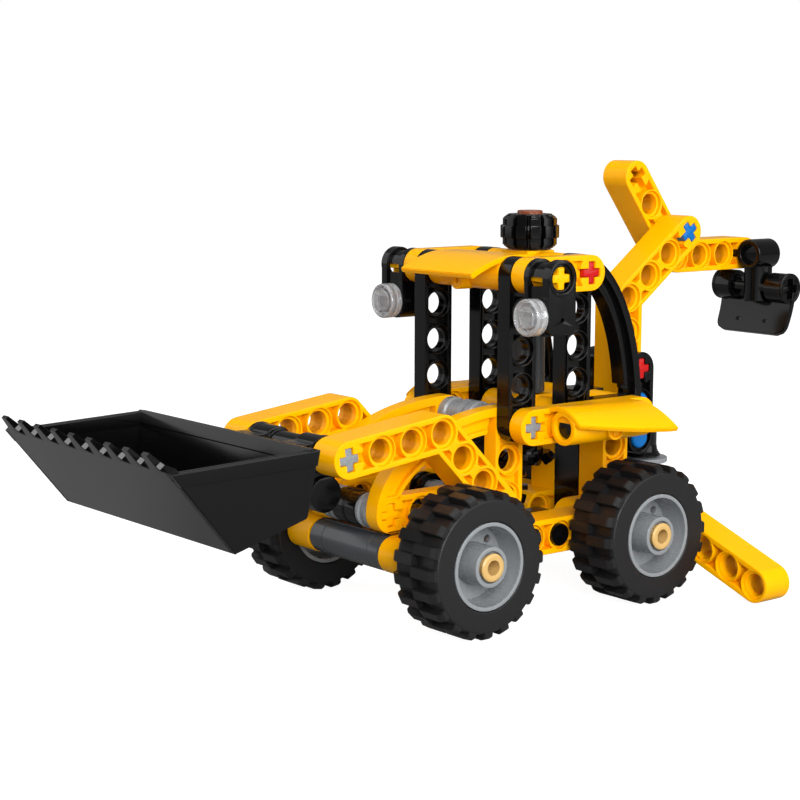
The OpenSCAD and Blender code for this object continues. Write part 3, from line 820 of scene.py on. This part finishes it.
bucket = [wall(FLOOR_F, FLOOR_B), wall(FLOOR_B, BACK)]
lip_m = on_plane(FLOOR_F, LIP)
wall_len = math.hypot(LIP[0] - FLOOR_F[0], LIP[1] - FLOOR_F[1])
TOOTH_STEP, TOOTH_H, FIRST = 6.68, 4.1, 2.28
edge = BUCKET_W - 0.06
saw = [(-edge, 0), (-edge, wall_len)]
for k in range(9):
    x = FIRST - BUCKET_W + TOOTH_STEP * k
    top = wall_len + TOOTH_H
    saw += [(x, wall_len), (x + 1.42, top), (x + 3.42, top), (x + 3.45, wall_len + 1.3),
            (x + 3.9, wall_len + 0.5),
            (x + 4.8, wall_len + 0.25)]
saw += [(edge, wall_len), (edge, 0)]
front = plate([saw], SKIN, -SKIN / 2, bevel=0.16)
for v in front.vertices:               # the teeth thin out towards their tips
    rise = max(0.0, v.co.y - wall_len) / TOOTH_H
    v.co.z *= 1 - 0.5 * rise
bucket.append(at(front, lip_m))
BAND = 3.0                     # height of the band round the bucket's rim


def down(p, q, d):
    """The point d along the way from p to q."""
    length = math.hypot(q[0] - p[0], q[1] - p[1])
    return p[0] + (q[0] - p[0]) * d / length, p[1] + (q[1] - p[1]) * d / length


side_loop = [LIP, FLOOR_F, FLOOR_B, BACK]
for s in (1, -1):
    cheek = plate([rounded(side_loop, 0.5)], SKIN, bevel=0.3)
    bucket.append(at(cheek, Matrix(((0, 0, 1, s * (BUCKET_W - SKIN / 2)), (1, 0, 0, 0), (0, 1, 0, 0),
                                    (0, 0, 0, 1)))))
    band = plate([[LIP, down(LIP, FLOOR_F, BAND * 1.1), down(BACK, FLOOR_B, BAND), BACK]], SKIN + 0.5,
                 bevel=0.2)
    bucket.append(at(band, Matrix(((0, 0, 1, s * (BUCKET_W - SKIN / 2 + 0.15)), (1, 0, 0, 0), (0, 1, 0, 0),
                                   (0, 0, 0, 1)))))
bucket.append(wall(down(BACK, FLOOR_B, BAND), BACK, thick=SKIN + 0.5, inset=-0.4))
bucket = in_place(bucket, mm(spot(0, 0, 0)))
for s in (1, -1):
    lug = on_x(TIP[0], TIP[1], 8 * s)
    bucket.append(at(plate([ring(3.7), ring(HOLE_R)], 6.6, bevel=0.3), lug))
    bucket.append(at(plate([ring(3.9), ring(3.0)], 1.2, z=3.0 * s, bevel=0.2), lug))
    reach = [(-17.2, -2.6), (-2.9, -2.6), (-2.9, 2.6), (-17.2, 2.6)]
    bucket.append(at(plate([rounded(reach, 0.4)], 6.2, bevel=0.3), lug))
    bucket.append(at(plate([ring(3.75, 0, -8)], 7.6, bevel=0.3), on_x(TIP[0], TIP[1], 8.1 * s)))
    drop = [(-2.9, -5.2), (2.9, -5.2), (2.6, -2.8), (-2.6, -2.8)]
    bucket.append(at(plate([drop], 6.0, bevel=0.2), lug))
bucket.append(at(plate([ring(3.0), ring(HOLE_R)], 9.8, bevel=0.2), on_x(TIP[0], TIP[1])))
bucket += [at(plate([ring(3.3), ring(2.9)], 1.0, bevel=0.15), on_x(TIP[0], TIP[1], x)) for x in (-4.4, 4.4)]
build("loader_scoop", "bucket", BLACK, bucket, nodes=["loader_bucket"], soft=24)

# ---- digger end ----------------------------------------------------------
HUB = (116, ROW[7])
hub = [at(lathe(rounded([(2.5, 112.15), (3.65, 112.15), (3.65, 119.85), (2.5, 119.85)], 0.25)),
          mm(spot(0, 0, HUB[1])) @ TO_REAR),
       at(rod(3.4, 59.6, 68.4, 0.25), mm(spot(0, HUB[0], 0))),
       at(plate([[(0, -4.6), (3.3, -4.6), (3.8, 0), (0, 0)]], 1.5), on_x(HUB[0], HUB[1] - 3.0))]
build("digger_hub", "stick_arm", BLACK, hub, nodes=["hub"])
build("hub_cross_axle", "stick_arm", BLACK, [at(axle(9.0), on_x(*HUB, -7.2))], nodes=["hub_axle"])
SLID = -0.7                    # how far the digger has slid along its axle
blade_rows = []
for i in range(15):
    t = i / 14
    corner = max(0.0, (t - 0.72) / 0.28)             # the lower corners are rounded
    half = 11.3 - 0.4 * t - 2.4 * (1 - math.sqrt(1 - min(1.0, corner) ** 2))
    y = 117.6 - 2.7 * t ** 1.5
    blade_rows.append([(SLID - half + 2 * half * k / 12, y, 60.4 - 8.9 * t) for k in range(13)])
digger = [at(sheet_mesh(blade_rows, 1.4), mm(spot(0, 0, 0)))]
for s in (1, -1):
    digger.append(at(plate([ring(3.65), rounded(CROSS, 0.2, 2)], 5.4, bevel=0.2),
                     on_x(HUB[0], ROW[6], SLID + 8.3 * s)))
    digger.append(at(plate([ring(END_R - 0.08), ring(3.1)], 0.9, bevel=0.12),
                     on_x(HUB[0], ROW[6], SLID + 10.65 * s)))
    digger.append(at(rod(0.75, -0.3, 0.25, 0.08), mm(spot(SLID + 4.3 * s, 114.9, 54.7)) @ TO_FRONT))
build("digger_scoop", "digger", BLACK, digger, nodes=["digger_bucket"])

build("digger_cross_axle", "digger", BLACK, [at(axle(19.0), on_x(HUB[0], ROW[6], SLID))],
      nodes=["digger_axle"])

# ---- swivel --------------------------------------------------------------
SWING_Y = 76
swivel = [at(lathe(rounded([(2.5, 25.4), (4.9, 25.4), (4.1, 26.6), (END_R, 28), (END_R, 32.8), (2.5, 32.8)],
                           0.25)), mm(spot(0, SWING_Y, 0))),
          at(lathe(rounded([(2.5, -3.85), (3.6, -3.85), (3.6, 3.85), (2.5, 3.85)], 0.3)),
             on_x(MAST_Y, ROW[2])),
          at(plate([[(-6.2, -3.4), (-2.2, -3.4), (-2.2, 3.4), (-6.2, 3.4)]], 4.0, z=30.7),
             mm(spot(0, SWING_Y, 0)) @ spin(90))]
build("swivel_tube", "swivel", BLACK, swivel, nodes=["swivel_head"])
build("swivel_grey_pin", "chassis", GREY,
      [rod(2.4, 11.7, 32.7), at(lathe(rounded([(2.3, 19.2), (3.7, 19.2), (3.7, 23.8), (6.4, 23.9),
                                               (6.4, 25.0), (2.3, 25.0)], 0.2)), Matrix())],
      spot(0, SWING_Y, 0), ["swivel_pin"])

# ---- floor, lights, camera -----------------------------------------------
floor_mat = bpy.data.materials.new("paper")
floor_mat.use_nodes = True
paper = floor_mat.node_tree.nodes["Principled BSDF"]
paper.inputs["Base Color"].default_value = (0.3, 0.3, 0.3, 1)
paper.inputs["Roughness"].default_value = 0.85
paper.inputs["Emission Color"].default_value = (1, 1, 1, 1)
seen = floor_mat.node_tree.nodes.new("ShaderNodeLightPath")
glow = floor_mat.node_tree.nodes.new("ShaderNodeMapRange")
glow.inputs["To Min"].default_value = 0.0          # the paper doesn't light the toy
glow.inputs["To Max"].default_value = 0.94          # overexposed, as a white sweep is
floor_mat.node_tree.links.new(seen.outputs["Is Camera Ray"], glow.inputs["Value"])
floor_mat.node_tree.links.new(glow.outputs["Result"], paper.inputs["Emission Strength"])
bpy.ops.mesh.primitive_plane_add(size=60, location=(0, 0, -0.0004))
floor = bpy.context.object
floor.name = "floor"
floor.data.materials.append(floor_mat)


def lamp(name, where, target, size, power):
    data = bpy.data.lights.new(name, "AREA")
    data.energy = power
    data.size = size
    obj = bpy.data.objects.new(name, data)
    obj.location = where
    obj.rotation_euler = (Vector(target) - Vector(where)).to_track_quat("-Z", "Y").to_euler()
    bpy.context.scene.collection.objects.link(obj)
    return obj


lamp("key", (0.8, -0.42, 0.42), (0, 0, 0.04), 0.6, 12.0)
lamp("top", (0.0, 0.0, 0.9), (0, 0, 0.04), 0.9, 4.2)
lamp("fill", (-0.7, -0.5, 0.35), (0, 0, 0.05), 0.7, 1.6)
lamp("side", (0.75, 0.35, 0.3), (0, 0, 0.05), 0.6, 2.6)
world = bpy.data.worlds.new("studio")
world.use_nodes = True
tree = world.node_tree
sky = tree.nodes["Background"]
sky.inputs["Color"].default_value = (1, 1, 1, 1)
path = tree.nodes.new("ShaderNodeLightPath")
strength = tree.nodes.new("ShaderNodeMapRange")
strength.inputs["To Min"].default_value = 0.22     # what lights and mirrors the toy
strength.inputs["To Max"].default_value = 1.0      # the paper-white backdrop
tree.links.new(path.outputs["Is Camera Ray"], strength.inputs["Value"])
tree.links.new(strength.outputs["Result"], sky.inputs["Strength"])
bpy.context.scene.world = world
bpy.context.scene.view_settings.view_transform = "Standard"

CAM_AT = (313.35, -244.9, 102.59)      # from the front axle, in millimetres
CAM_AZ, CAM_EL, CAM_ROLL = 51.59, 8.24, 0.17
az, el, roll = radians(CAM_AZ), radians(CAM_EL), radians(CAM_ROLL)
back = Vector((sin(az) * cos(el), -cos(az) * cos(el), sin(el)))
right0 = Vector((cos(az), sin(az), 0))
up0 = back.cross(right0)
right = right0 * cos(roll) + up0 * sin(roll)
up = up0 * cos(roll) - right0 * sin(roll)
cam = bpy.data.cameras.new("camera")
cam.sensor_width = 36
cam.lens = 1908.2 / 800 * 36
cam.clip_start = 0.01
camera = bpy.data.objects.new("camera", cam)
camera.matrix_world = spot(*CAM_AT) @ turned((right, up, back))
bpy.context.scene.collection.objects.link(camera)
bpy.context.scene.camera = camera
